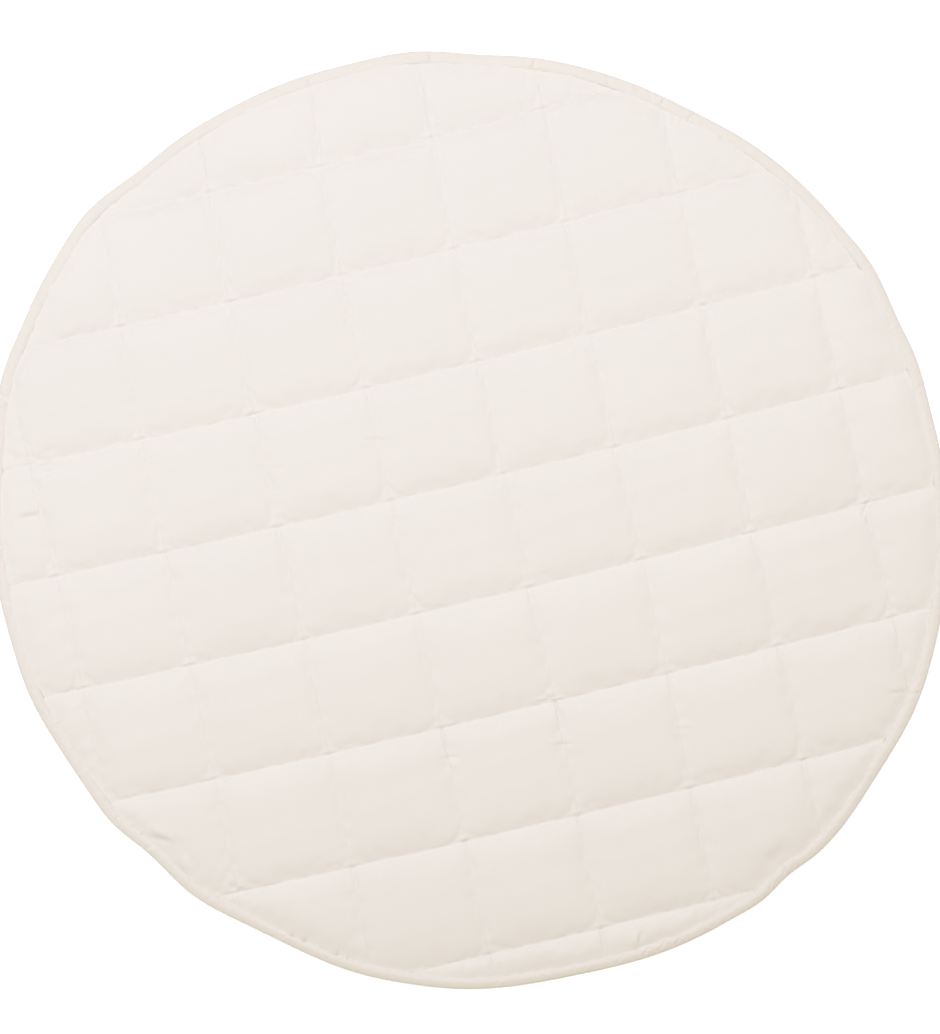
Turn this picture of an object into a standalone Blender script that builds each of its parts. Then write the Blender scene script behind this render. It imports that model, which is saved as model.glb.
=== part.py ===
"""Round quilted play mat: a padded disc with a square grid of puffs, and the binding folded over its edge.

Frame: metres, origin at the middle of the underside, +Z up, +X along the rows of puffs as seen from above with
their right end raised 13 degrees toward +Y.
"""
import math
from collections import namedtuple

import bmesh
import bpy

Bulge = namedtuple("Bulge", "angle_deg spread_deg rise")
Seam = namedtuple("Seam", "tilt_deg offset")

# Outline over the binding: a circle, drawn into a slight oval, with soft bulges and dents in the cloth
RADIUS = 0.500
OVAL_RISE = 0.0106
OVAL_ANGLE_DEG = 152.0
BULGES = (
    Bulge(12.0, 4.0, -0.0015),
    Bulge(20.0, 4.0, 0.0019),
    Bulge(32.0, 4.0, 0.0052),
    Bulge(44.0, 8.0, 0.0067),
    Bulge(55.0, 5.0, 0.0016),
    Bulge(89.0, 4.0, -0.0038),
    Bulge(97.0, 4.0, 0.0012),
    Bulge(106.0, 5.0, -0.0028),
    Bulge(120.0, 6.0, -0.0027),
    Bulge(133.0, 4.0, -0.0020),
    Bulge(142.0, 4.0, 0.0081),
    Bulge(151.0, 4.0, 0.0044),
    Bulge(163.0, 5.0, 0.0063),
    Bulge(202.0, 4.0, 0.0031),
    Bulge(219.0, 4.0, 0.0033),
    Bulge(234.0, 4.0, 0.0037),
    Bulge(256.0, 5.0, 0.0036),
    Bulge(268.0, 6.0, 0.0036),
    Bulge(284.0, 6.0, -0.0033),
    Bulge(318.0, 5.0, 0.0011),
    Bulge(328.0, 4.0, -0.0016),
    Bulge(338.0, 4.0, 0.0016),
)
SETTLE_FROM = 0.400
SETTLE_TO = 0.465

# Quilting: rows rise to the right, columns lean to the left; offsets run from the middle of the mat
ROWS = (
    Seam(13.41, 0.4034),
    Seam(13.46, 0.2830),
    Seam(13.45, 0.1614),
    Seam(13.40, 0.0398),
    Seam(13.35, -0.0828),
    Seam(13.35, -0.2060),
    Seam(13.21, -0.3286),
    Seam(13.37, -0.4506),
)
COLUMNS = (
    Seam(12.93, 0.4110),
    Seam(12.28, 0.2875),
    Seam(12.45, 0.1670),
    Seam(12.19, 0.0450),
    Seam(11.97, -0.0772),
    Seam(12.08, -0.1990),
    Seam(11.91, -0.3200),
    Seam(13.25, -0.4380),
)
ROW_SAG = 0.0060
QUILT_TILT = math.radians(13.4)
CUT_STEPS = (0.0055, 0.019)

# Heights of the pad
CROWN_TOP = 0.0165
SEAM_TOP = 0.0060
PUFF_SHOULDER = 0.016
PUFF_HALF_WIDTH = 0.061
CHANNEL_UNDER = 0.0020
CHANNEL_HALF_WIDTH = 0.019
CHANNEL_BEND = 1.7

# Binding and the squeezed edge of the pad inside it
BINDING_WIDTH = 0.0140
BINDING_CLOTH = 0.0010
BINDING_ROLL = 0.0022
GAP = 0.0003
EDGE_UNDER = BINDING_CLOTH + GAP
EDGE_TOP = 0.0053
BINDING_TOP = EDGE_TOP + GAP + BINDING_CLOTH
EDGE_INSET = BINDING_CLOTH + 2 * GAP
PUFF_INSET = BINDING_WIDTH + 2 * GAP
GRID_RADIUS = RADIUS - 0.028
RIM_INSETS = (0.020, PUFF_INSET, EDGE_INSET)
PAD_SIDES = 96
BINDING_SIDES = 192

CREAM = (0.86, 0.82, 0.76, 1.0)
BINDING_CREAM = (0.87, 0.83, 0.77, 1.0)
CLOTH_ROUGHNESS = 0.9


def clear_scene():
    """Remove every object of the start-up scene."""
    for item in list(bpy.data.objects):
        bpy.data.objects.remove(item, do_unlink=True)


def make_collection(name):
    """Add a named collection to the scene."""
    collection = bpy.data.collections.new(name)
    bpy.context.scene.collection.children.link(collection)
    return collection


def cloth_material(name, colour):
    """Matt cloth of one colour."""
    material = bpy.data.materials.new(name)
    material.use_nodes = True
    shader = material.node_tree.nodes["Principled BSDF"]
    shader.inputs["Base Color"].default_value = colour
    shader.inputs["Roughness"].default_value = CLOTH_ROUGHNESS
    return material


def outline_shift(angle):
    """Distance by which the outline leaves the plain circle in one direction."""
    shift = OVAL_RISE * math.cos(2 * (angle - math.radians(OVAL_ANGLE_DEG)))
    for bulge in BULGES:
        away = math.degrees(angle) - bulge.angle_deg
        away = (away + 180.0) % 360.0 - 180.0
        shift += bulge.rise * math.exp(-0.5 * (away / bulge.spread_deg) ** 2)
    return shift


def smooth_share(value, start, end):
    """Share from 0 at start to 1 at end, level at both ends."""
    share = min(max((value - start) / (end - start), 0.0), 1.0)
    return share * share * (3.0 - 2.0 * share)


def lay_out(bm):
    """Move a true disc of points to the shape in which the cloth lies: outline bulges and sagging rows."""
    across = (math.cos(QUILT_TILT), math.sin(QUILT_TILT))
    for vert in bm.verts:
        reach = math.hypot(vert.co.x, vert.co.y)
        angle = math.atan2(vert.co.y, vert.co.x)
        along = (vert.co.x * across[0] + vert.co.y * across[1]) / RADIUS
        sag = ROW_SAG * (along * along - 1.0 / 3.0)
        push = outline_shift(angle) * smooth_share(reach, SETTLE_FROM, SETTLE_TO)
        vert.co.x += push * math.cos(angle) - sag * across[1]
        vert.co.y += push * math.sin(angle) + sag * across[0]


def row_normal(tilt_deg):
    """Direction across a row seam."""
    tilt = math.radians(tilt_deg)
    return (-math.sin(tilt), math.cos(tilt))


def column_normal(tilt_deg):
    """Direction across a column seam."""
    tilt = math.radians(tilt_deg)
    return (math.cos(tilt), math.sin(tilt))


def cut_lines(seams):
    """Every line the disc is cut along: the seams, steps beside them, and the middle of each band of puffs."""
    lines = list(seams)
    for upper, lower in zip(seams, seams[1:]):
        gap = upper.offset - lower.offset
        shares = [step / gap for step in CUT_STEPS]
        shares += [0.5] + [1.0 - share for share in shares]
        for share in shares:
            tilt = upper.tilt_deg + share * (lower.tilt_deg - upper.tilt_deg)
            lines.append(Seam(tilt, upper.offset - share * gap))
    for seam, side in ((seams[0], 1), (seams[-1], -1)):
        for step in CUT_STEPS:
            lines.append(Seam(seam.tilt_deg, seam.offset + side * step))
    return [line for line in lines if abs(line.offset) < GRID_RADIUS - step_margin()]


def step_margin():
    """Closest that a cut line may come to the edge of the cut disc."""
    return CUT_STEPS[0]


def nearest(seams, normal_of, x, y):
    """Distance from a point to the nearest of a set of seams."""
    best = RADIUS
    for seam in seams:
        normal = normal_of(seam.tilt_deg)
        best = min(best, abs(normal[0] * x + normal[1] * y - seam.offset))
    return best


def puff(distance):
    """Rise of the padding from a seam: steep at the seam, level at the middle of the puff."""
    full = 1.0 - math.exp(-PUFF_HALF_WIDTH / PUFF_SHOULDER)
    return min((1.0 - math.exp(-max(distance, 0.0) / PUFF_SHOULDER)) / full, 1.0)


def channel(distance):
    """Share of the channel that has closed at a distance from a seam, on the underside."""
    return 1.0 - max(1.0 - distance / CHANNEL_HALF_WIDTH, 0.0) ** CHANNEL_BEND


def top_height(x, y, inset):
    """Height of the quilted face."""
    rows = nearest(ROWS, row_normal, x, y)
    columns = nearest(COLUMNS, column_normal, x, y)
    rim = puff(inset - PUFF_INSET)
    floor = EDGE_TOP + (SEAM_TOP - EDGE_TOP) * rim
    return floor + (CROWN_TOP - SEAM_TOP) * puff(rows) * puff(columns) * rim


def under_height(x, y, inset):
    """Height of the underside: on the floor under each puff, lifted at seams and inside the binding."""
    if inset <= PUFF_INSET + GAP:
        return EDGE_UNDER
    rows = channel(nearest(ROWS, row_normal, x, y))
    columns = channel(nearest(COLUMNS, column_normal, x, y))
    rim = smooth_share(inset, PUFF_INSET, RADIUS - GRID_RADIUS)
    return CHANNEL_UNDER * (1.0 - rows * columns) * rim


def cut_disc():
    """A flat disc cut along the quilting, with rings added out to the edge inside the binding."""
    bm = bmesh.new()
    bmesh.ops.create_circle(bm, cap_ends=True, segments=PAD_SIDES, radius=GRID_RADIUS)
    for seams, normal_of in ((ROWS, row_normal), (COLUMNS, column_normal)):
        for line in cut_lines(seams):
            normal = normal_of(line.tilt_deg)
            point = (normal[0] * line.offset, normal[1] * line.offset, 0.0)
            parts = bm.verts[:] + bm.edges[:] + bm.faces[:]
            bmesh.ops.bisect_plane(bm, geom=parts, dist=1e-6, plane_co=point, plane_no=(*normal, 0.0))
    for vert in bm.verts:
        if vert.is_boundary:
            vert.co = vert.co.normalized() * GRID_RADIUS
    for inset in RIM_INSETS:
        edges = [edge for edge in bm.edges if edge.is_boundary]
        grown = bmesh.ops.extrude_edge_only(bm, edges=edges)["geom"]
        for vert in grown:
            if isinstance(vert, bmesh.types.BMVert):
                vert.co = vert.co.normalized() * (RADIUS - inset)
    return bm


def finish(bm, name, collection, material):
    """Turn a mesh in the making into a named object of one material."""
    bmesh.ops.recalc_face_normals(bm, faces=bm.faces[:])
    mesh = bpy.data.meshes.new(name)
    bm.to_mesh(mesh)
    bm.free()
    mesh.shade_smooth()
    mesh.set_sharp_from_angle(angle=math.radians(50.0))
    item = bpy.data.objects.new(name, mesh)
    item.data.materials.append(material)
    collection.objects.link(item)
    return item


def quilted_pad(collection, material):
    """The filled pad: puffs raised in the points of its top face, shallow channels in the underside."""
    bm = cut_disc()
    grown = bmesh.ops.extrude_face_region(bm, geom=bm.faces[:])["geom"]
    top = {part for part in grown if isinstance(part, bmesh.types.BMVert)}
    for vert in bm.verts:
        inset = RADIUS - math.hypot(vert.co.x, vert.co.y)
        height = top_height if vert in top else under_height
        vert.co.z = height(vert.co.x, vert.co.y, inset)
    lay_out(bm)
    return finish(bm, "quilted_pad", collection, material)


def binding_section():
    """Section of the binding: inset from the outline and height, from the lower hem round to the upper hem."""
    middle = BINDING_TOP / 2
    soft = BINDING_ROLL / 3
    return (
        (BINDING_WIDTH, 0.0),
        (BINDING_ROLL, 0.0),
        (soft, soft),
        (0.0, middle),
        (soft, BINDING_TOP - soft),
        (BINDING_ROLL, BINDING_TOP),
        (BINDING_WIDTH - soft, BINDING_TOP),
        (BINDING_WIDTH, BINDING_TOP - soft / 2),
        (BINDING_WIDTH, EDGE_TOP + GAP),
        (BINDING_CLOTH, EDGE_TOP + GAP),
        (BINDING_CLOTH, BINDING_CLOTH),
        (BINDING_WIDTH, BINDING_CLOTH),
    )


def binding(collection, material):
    """The edging: a strip with a U-shaped section, spun round the mat and laid along its outline."""
    bm = bmesh.new()
    verts = [bm.verts.new((RADIUS - inset, 0.0, height)) for inset, height in binding_section()]
    edges = [bm.edges.new(pair) for pair in zip(verts, verts[1:] + verts[:1])]
    bmesh.ops.spin(bm, geom=verts + edges, cent=(0.0, 0.0, 0.0), axis=(0.0, 0.0, 1.0), angle=math.tau,
                   steps=BINDING_SIDES, use_merge=True)
    bmesh.ops.remove_doubles(bm, verts=bm.verts[:], dist=1e-5)
    lay_out(bm)
    return finish(bm, "binding", collection, material)


def build():
    """Build the mat."""
    clear_scene()
    collection = make_collection("baby_play_mat")
    quilted_pad(collection, cloth_material("cream_cotton", CREAM))
    binding(collection, cloth_material("cream_binding", BINDING_CREAM))


build()
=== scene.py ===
"""Looks of a round quilted baby play mat in cream cotton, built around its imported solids.

Frame: metres, +Z up, +Y toward the far side of the mat in the camera's view. The mat lies on the floor at z = 0.
"""
import logging
import math
from contextlib import contextmanager
from dataclasses import dataclass, field
from enum import Enum, IntEnum
from typing import Any, Iterator

import bpy
import numpy as np
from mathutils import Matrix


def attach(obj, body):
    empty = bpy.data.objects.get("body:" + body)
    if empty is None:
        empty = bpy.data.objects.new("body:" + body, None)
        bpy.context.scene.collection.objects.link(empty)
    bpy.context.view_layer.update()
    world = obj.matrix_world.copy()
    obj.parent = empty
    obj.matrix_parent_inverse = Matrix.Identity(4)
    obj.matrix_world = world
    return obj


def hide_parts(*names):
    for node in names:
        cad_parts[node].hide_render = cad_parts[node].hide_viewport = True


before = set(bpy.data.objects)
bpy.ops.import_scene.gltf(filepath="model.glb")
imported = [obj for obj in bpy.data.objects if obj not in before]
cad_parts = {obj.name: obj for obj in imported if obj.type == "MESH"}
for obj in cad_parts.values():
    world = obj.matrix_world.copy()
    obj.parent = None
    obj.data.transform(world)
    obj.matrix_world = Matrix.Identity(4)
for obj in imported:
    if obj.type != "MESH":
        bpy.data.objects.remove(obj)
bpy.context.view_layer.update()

BODY = "root"
MM = 0.001
TURN = 2.0 * math.pi
LOG = logging.getLogger("play_mat")

Array = np.ndarray
Color = tuple[float, float, float]
Piece = bpy.types.Object
Material = bpy.types.Material
Tree = bpy.types.NodeTree
Node = bpy.types.Node
Socket = bpy.types.NodeSocket


class Seed(IntEnum):
    """What each random draw decides."""

    RIPPLE = 5
    RIPPLE_GATHER = 6
    CLOUD = 7
    HEM = 8
    PLUMPNESS = 11
    RIM_PUCKER = 12
    RIM_GATHER = 13
    KNOTS = 17
    ROW_WANDER = 20
    PLEATS = 31
    COLUMN_WANDER = 40
    PUCKER_GATHER = 60
    ROW_PUCKER = 100
    COLUMN_PUCKER = 300


# Helpers for editing meshes as by hand


def deselect_all() -> None:
    """Leave edit mode and deselect every object."""
    if bpy.context.object and bpy.context.object.mode != "OBJECT":
        bpy.ops.object.mode_set(mode="OBJECT")
    bpy.ops.object.select_all(action="DESELECT")


def make_active(piece: Piece) -> None:
    """Select one piece alone and make it active."""
    deselect_all()
    piece.select_set(True)
    bpy.context.view_layer.objects.active = piece


@contextmanager
def editing(piece: Piece, select: str = "VERT") -> Iterator[None]:
    """Open a piece in edit mode for the lines inside the with block.

    Args:
        piece: the mesh to edit.
        select: the selection mode, VERT, EDGE or FACE.
    """
    make_active(piece)
    bpy.ops.object.mode_set(mode="EDIT")
    bpy.ops.mesh.select_mode(type=select)
    try:
        yield
    finally:
        bpy.ops.object.mode_set(mode="OBJECT")


def points_of(piece: Piece) -> Array:
    """Read a mesh's points as an array of shape (count, 3)."""
    flat = np.empty(len(piece.data.vertices) * 3)
    piece.data.vertices.foreach_get("co", flat)
    return flat.reshape(-1, 3)


def set_points(piece: Piece, points: Array) -> None:
    """Write a mesh's points from an array of shape (count, 3)."""
    piece.data.vertices.foreach_set("co", np.ascontiguousarray(points, dtype=float).ravel())
    piece.data.update()


def select_points(piece: Piece, chosen: Array) -> None:
    """Select the points of a mesh that a mask marks, and nothing else.

    Args:
        piece: the mesh, in object mode.
        chosen: one truth value for each point.
    """
    mesh = piece.data
    mesh.vertices.foreach_set("select", chosen)
    for parts in (mesh.edges, mesh.polygons):
        parts.foreach_set("select", np.zeros(len(parts), bool))


def select_open_edges(wire: bool) -> None:
    """Select the open edges of the mesh in edit mode, and loose ones too if asked."""
    bpy.ops.mesh.select_all(action="DESELECT")
    bpy.ops.mesh.select_non_manifold(use_wire=wire, use_boundary=True, use_multi_face=False,
                                     use_non_contiguous=False, use_verts=False)


def face_outward(piece: Piece) -> None:
    """Turn every face of a closed mesh to the outside."""
    with editing(piece):
        bpy.ops.mesh.select_all(action="SELECT")
        bpy.ops.mesh.normals_make_consistent(inside=False)


def apply_modifier(piece: Piece, name: str) -> None:
    """Apply one modifier of a piece."""
    make_active(piece)
    bpy.ops.object.modifier_apply(modifier=name)


def put_in_scene(name: str, data: Any) -> Piece:
    """Make an object of some data and put it in the scene."""
    made = bpy.data.objects.new(name, data)
    bpy.context.scene.collection.objects.link(made)
    return made


def dress_piece(piece: Piece, material: Material) -> None:
    """Give a piece its finish, and let it ride on the mat.

    Args:
        piece: the finished mesh.
        material: what it is made of.
    """
    piece.data.materials.clear()
    piece.data.materials.append(material)
    make_active(piece)
    bpy.ops.object.shade_smooth()
    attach(piece, BODY)
    LOG.info("%s: %d faces", piece.name, len(piece.data.polygons))


# Shapes of cloth, as functions of place


def unrest(turns: list[Array], seed: int) -> Array:
    """Sum sine waves, shifted at random, into a smooth unrest between about -1 and 1."""
    phases = np.random.default_rng(seed).uniform(0.0, TURN, len(turns))
    return sum(np.sin(turn + phase) for turn, phase in zip(turns, phases)) / len(turns)


def waves(position: Array, lengths: tuple[float, ...], seed: int) -> Array:
    """Sum waves of the given lengths along the cloth, all in metres."""
    return unrest([TURN * position / length for length in lengths], seed)


def ring_waves(angle: Array, counts: tuple[int, ...], seed: int) -> Array:
    """Sum waves that close on themselves, each running so many times round the mat."""
    return unrest([count * angle for count in counts], seed)


def plane_waves(x: Array, y: Array, lengths: tuple[float, ...], seed: int) -> Array:
    """Sum waves that run in scattered directions over the mat, between about -1 and 1.

    Args:
        x: places across the mat.
        y: places up the mat.
        lengths: wavelengths, in metres.
        seed: chooses the waves' directions and phases.

    Returns:
        The unrest at each place.
    """
    draw = np.random.default_rng(seed)
    total = np.zeros_like(x)
    for length in lengths:
        heading, phase = draw.uniform(0.0, TURN, 2)
        total += np.sin(TURN * (x * math.cos(heading) + y * math.sin(heading)) / length + phase)
    return total / math.sqrt(len(lengths))


def swell(value: Array, start: float, end: float) -> Array:
    """Rise smoothly from 0 at start to 1 at end."""
    share = np.clip((value - start) / (end - start), 0.0, 1.0)
    return share * share * (3.0 - 2.0 * share)


def plateau(value: Array, edges: tuple[float, float, float, float]) -> Array:
    """Rise smoothly from 0 to 1 between the first two edges, and fall back between the last two."""
    return swell(value, edges[0], edges[1]) * (1.0 - swell(value, edges[2], edges[3]))


def bell(value: Array, width: float) -> Array:
    """Fall in a bell curve from 1 at nil."""
    return np.exp(-(value / width) ** 2)


def crease(across: Array, width: float, ridge: float, spread: float) -> Array:
    """Shape a furrow of depth 1 and a low ridge beside it, its height and width given as shares of the furrow's."""
    return bell(across, width) - ridge * bell(across - 2.2 * width, spread * width)


def degrees_from(angle: Array, middle: float) -> Array:
    """Measure directions in radians from one in degrees, between -180 and 180 degrees."""
    return (np.degrees(angle) - middle + 180.0) % 360.0 - 180.0


def table(kind: type, *rows: tuple[float, ...]) -> tuple[Any, ...]:
    """Read rows of numbers whose columns are the fields of a kind, in order."""
    return tuple(kind(*row) for row in rows)


# The mat's outline and its quilting


@dataclass(frozen=True)
class Bulge:
    """A soft bulge or dent of the outline: direction and spread in degrees, rise in metres."""

    angle: float
    spread: float
    rise: float


@dataclass(frozen=True)
class Outline:
    """The edge of the mat as it lies: a circle drawn into a slight oval, with bulges and dents."""

    radius: float = 0.500
    oval: float = 0.0106
    oval_angle: float = 152.0
    bulges: tuple[Bulge, ...] = table(
        Bulge, (12.0, 3.0, -0.0014), (20.0, 3.0, 0.0021), (32.0, 4.0, 0.0060), (44.0, 7.0, 0.0065),
        (54.0, 4.0, 0.0025), (70.0, 6.0, 0.0009), (89.0, 4.0, -0.0038), (97.0, 4.0, 0.0012),
        (106.0, 5.0, -0.0027), (120.0, 6.0, -0.0028), (133.0, 3.0, -0.0023), (142.0, 4.0, 0.0079),
        (151.0, 4.0, 0.0044), (163.0, 5.0, 0.0063), (190.0, 4.0, 0.0007), (202.0, 4.0, 0.0030),
        (212.0, 4.0, 0.0008), (220.0, 3.0, 0.0042), (227.0, 3.0, -0.0016), (234.0, 4.0, 0.0043),
        (244.0, 4.0, -0.0007), (256.0, 5.0, 0.0038), (268.0, 6.0, 0.0036), (284.0, 6.0, -0.0033),
        (307.0, 2.0, 0.0019), (312.0, 2.0, -0.0031), (318.0, 4.0, 0.0020), (328.0, 4.0, -0.0017),
        (338.0, 4.0, 0.0016),
    )

    def reach(self, angle: Array) -> Array:
        """Measure the distance from the middle to the edge.

        Args:
            angle: directions in radians.

        Returns:
            The distance in each direction, in metres.
        """
        reach = self.radius + self.oval * np.cos(2.0 * (angle - math.radians(self.oval_angle)))
        for bulge in self.bulges:
            reach = reach + bulge.rise * np.exp(-0.5 * (degrees_from(angle, bulge.angle) / bulge.spread) ** 2)
        return reach

    def inset(self, x: Array, y: Array) -> Array:
        """Measure how far inside the edge each place lies."""
        return self.reach(np.arctan2(y, x)) - np.hypot(x, y)

    def places(self, angle: Array, inset: Array | float) -> tuple[Array, Array]:
        """Give the x and y of the places that lie so far inside the edge, in each direction."""
        reach = self.reach(angle) - inset
        return reach * np.cos(angle), reach * np.sin(angle)


@dataclass(frozen=True)
class Opening:
    """A stretch of the binding's hem that lies less deep in the pad: direction and half length in degrees."""

    angle: float
    half: float


@dataclass(frozen=True)
class Hem:
    """The inner edge of the binding as it runs round the mat, wider at the far side."""

    inset: float = 0.0130
    lean: float = 0.0004
    wander: float = 0.0005
    wander_counts: tuple[int, ...] = (61, 97, 149)
    overlap: float = 0.0022
    open_overlap: float = 0.0009
    open_core: float = 0.7
    openings: tuple[Opening, ...] = table(
        Opening, (1.6, 0.8), (23.5, 0.7), (33.1, 0.8), (37.4, 0.8), (61.1, 1.3), (64.8, 1.2), (72.7, 2.4),
        (78.8, 2.6), (84.4, 2.2), (93.0, 3.2), (97.0, 0.8), (106.6, 1.6), (112.9, 2.6), (119.7, 0.7),
        (142.3, 1.9), (147.9, 1.3), (164.4, 1.2), (168.8, 2.2), (196.0, 1.2), (205.5, 1.4), (294.5, 3.2),
        (311.5, 3.0), (322.0, 5.0),
    )

    def place(self, angle: Array) -> Array:
        """Measure how far inside the outline the hem runs, in each direction."""
        wander = self.wander * ring_waves(angle, self.wander_counts, Seed.HEM)
        return self.inset + self.lean * np.sin(angle) + wander

    def bedding(self, angle: Array) -> Array:
        """Measure how far outside the hem the pad begins to rise.

        Args:
            angle: directions in radians.

        Returns:
            The distance in each direction, in metres.
        """
        share = np.zeros_like(angle)
        for opening in self.openings:
            away = np.abs(degrees_from(angle, opening.angle))
            share = np.maximum(share, 1.0 - swell(away, self.open_core * opening.half, opening.half))
        return self.overlap + (self.open_overlap - self.overlap) * share


class Run(Enum):
    """The two ways in which the quilting runs."""

    ROW = "row"
    COLUMN = "column"


@dataclass(frozen=True)
class Seam:
    """One line of quilting: tilt in degrees, offset from the middle and bow at the edge in metres.

    The bends are how far it strays at the quilting's knots, in millimetres.
    """

    tilt: float
    offset: float
    bow: float = 0.0
    bends: tuple[float, ...] = ()


@dataclass(frozen=True)
class Quilting:
    """The grid of seams, which rises to the right, and the small wander of each line of stitches."""

    rows: tuple[Seam, ...] = table(
        Seam, (14.20, 0.4023, 0.012), (13.46, 0.2818, 0.006), (13.45, 0.1604, 0.006), (13.40, 0.0388, 0.006),
        (13.35, -0.0837, 0.006), (13.35, -0.2067, 0.006), (13.21, -0.3291, 0.006), (13.37, -0.4493, 0.011),
    )
    columns: tuple[Seam, ...] = (
        Seam(12.93, 0.4110, bends=(0.0, 0.0, 0.0, 0.0, -0.5, 0.8, 0.0, 0.0)),
        Seam(12.28, 0.2875, bends=(3.8, 1.5, 1.6, 0.0, 0.8, 2.7, 3.7, 3.0)),
        Seam(12.45, 0.1670, bends=(3.4, 2.2, -0.3, -1.2, 0.3, 1.5, 0.5, -0.7)),
        Seam(12.19, 0.0450, bends=(2.8, -0.5, -0.7, -0.7, 1.5, 2.8, 1.7, 0.2)),
        Seam(11.97, -0.0772, bends=(6.2, -0.5, -2.2, -1.5, 1.0, 3.5, 2.7, 1.5)),
        Seam(12.08, -0.1990, bends=(4.0, 0.2, -0.8, -0.5, 1.5, 2.0, 1.0, -1.0)),
        Seam(11.91, -0.3165, bends=(0.0, 0.0, -4.0, -5.8, -4.6, -3.6, -4.4, -6.0)),
        Seam(13.25, -0.4360, bends=(0.0, 0.0, -3.0, -4.0, -2.0, -4.0, -4.0, -4.0)),
    )
    knots: tuple[float, ...] = (0.470, 0.340, 0.220, 0.100, -0.020, -0.145, -0.270, -0.390)
    reach: float = 0.500
    wander: float = 0.0005
    wander_lengths: tuple[float, ...] = (0.150, 0.087, 0.046)
    bow_rest: float = 1.0 / 3.0

    def seams(self, run: Run) -> tuple[Seam, ...]:
        """Give the seams that run one way."""
        return self.rows if run is Run.ROW else self.columns

    def directions(self, run: Run, tilt: Array | float) -> tuple[Array, Array]:
        """Give the unit directions along and across a seam.

        Args:
            run: which way the seam runs.
            tilt: its tilt in degrees.

        Returns:
            The direction along it and the direction across it, each as (x, y).
        """
        lean = np.radians(tilt)
        level = np.array([np.cos(lean), np.sin(lean)])
        upright = np.array([-np.sin(lean), np.cos(lean)])
        return (level, upright) if run is Run.ROW else (upright, level)

    def stray(self, run: Run, number: int, along: Array) -> Array:
        """Find how far one seam strays from its straight line.

        Args:
            run: which way the seam runs.
            number: its place in the table.
            along: distance along it.

        Returns:
            The stray across the seam, in metres.
        """
        seam = self.seams(run)[number]
        seed = number + (Seed.ROW_WANDER if run is Run.ROW else Seed.COLUMN_WANDER)
        stray = self.wander * waves(along, self.wander_lengths, seed)
        if seam.bow:
            stray = stray + seam.bow * ((along / self.reach) ** 2 - self.bow_rest)
        if seam.bends:
            stray = stray + MM * np.interp(along, self.knots[::-1], seam.bends[::-1])
        return stray

    def nearest(self, run: Run, x: Array, y: Array) -> tuple[Array, Array, Array]:
        """Find the nearest seam that runs one way.

        Args:
            run: which way the seams run.
            x: places across the mat.
            y: places up the mat.

        Returns:
            The signed distance to it, the distance along it and its number.
        """
        best, reach_along = np.full(np.shape(x), np.inf), np.zeros(np.shape(x))
        which = np.zeros(np.shape(x), int)
        for number, seam in enumerate(self.seams(run)):
            ahead, side = self.directions(run, seam.tilt)
            along = ahead[0] * x + ahead[1] * y
            away = side[0] * x + side[1] * y - seam.offset - self.stray(run, number, along)
            closer = np.abs(away) < np.abs(best)
            best = np.where(closer, away, best)
            reach_along = np.where(closer, along, reach_along)
            which = np.where(closer, number, which)
        return best, reach_along, which

    def trace(self, run: Run, number: int, along: Array) -> tuple[Array, Array]:
        """Give the places along one seam.

        Args:
            run: which way the seam runs.
            number: its place in the table.
            along: distances along it.

        Returns:
            The x and y of each place.
        """
        seam = self.seams(run)[number]
        ahead, side = self.directions(run, seam.tilt)
        away = seam.offset + self.stray(run, number, along)
        return ahead[0] * along + side[0] * away, ahead[1] * along + side[1] * away

    def mesh_lines(self, run: Run, steps: tuple[float, ...], limit: float) -> list[tuple[float, float, float]]:
        """List the lines of a mesh that follows the seams, close beside them and wider between.

        Args:
            run: which way the lines run.
            steps: distances from a seam at which lines lie, up to the middle of a puff.
            limit: offset past which no line is needed.

        Returns:
            A row of tilt, offset and seam number with its fraction for each line, in order.
        """
        seams = self.seams(run)
        lines = [(seam.tilt, seam.offset, float(number)) for number, seam in enumerate(seams)]
        half = [0.5 * step / steps[-1] for step in steps]
        for number, (first, second) in enumerate(zip(seams, seams[1:])):
            gap = first.offset - second.offset
            for share in half + [1.0 - share for share in half[:-1]]:
                tilt = first.tilt + share * (second.tilt - first.tilt)
                lines.append((tilt, first.offset - share * gap, number + share))
        outward = list(steps) + [2.0 * steps[-1] - step for step in reversed(steps[:-1])]
        for number, side in ((0, 1.0), (len(seams) - 1, -1.0)):
            for offset in (seams[number].offset + side * step for step in outward):
                if abs(offset) < limit:
                    lines.append((seams[number].tilt, offset, number))
        return sorted(lines, key=lambda line: -line[1])

    def line_stray(self, run: Run, place: Array, along: Array) -> Array:
        """Share the stray of the two neighbouring seams out to a line between them.

        Args:
            run: which way the lines run.
            place: each line's seam number with its fraction.
            along: distance along the line.

        Returns:
            The stray of the line.
        """
        last = len(self.seams(run)) - 1
        lower = np.clip(np.floor(place).astype(int), 0, last)
        share = np.clip(place - lower, 0.0, 1.0)
        strays = np.array([self.stray(run, number, along) for number in range(last + 1)])
        upper = np.minimum(lower + 1, last)
        first = np.take_along_axis(strays, lower[None, ...], axis=0)[0]
        second = np.take_along_axis(strays, upper[None, ...], axis=0)[0]
        return first + share * (second - first)


# Finishes


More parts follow.
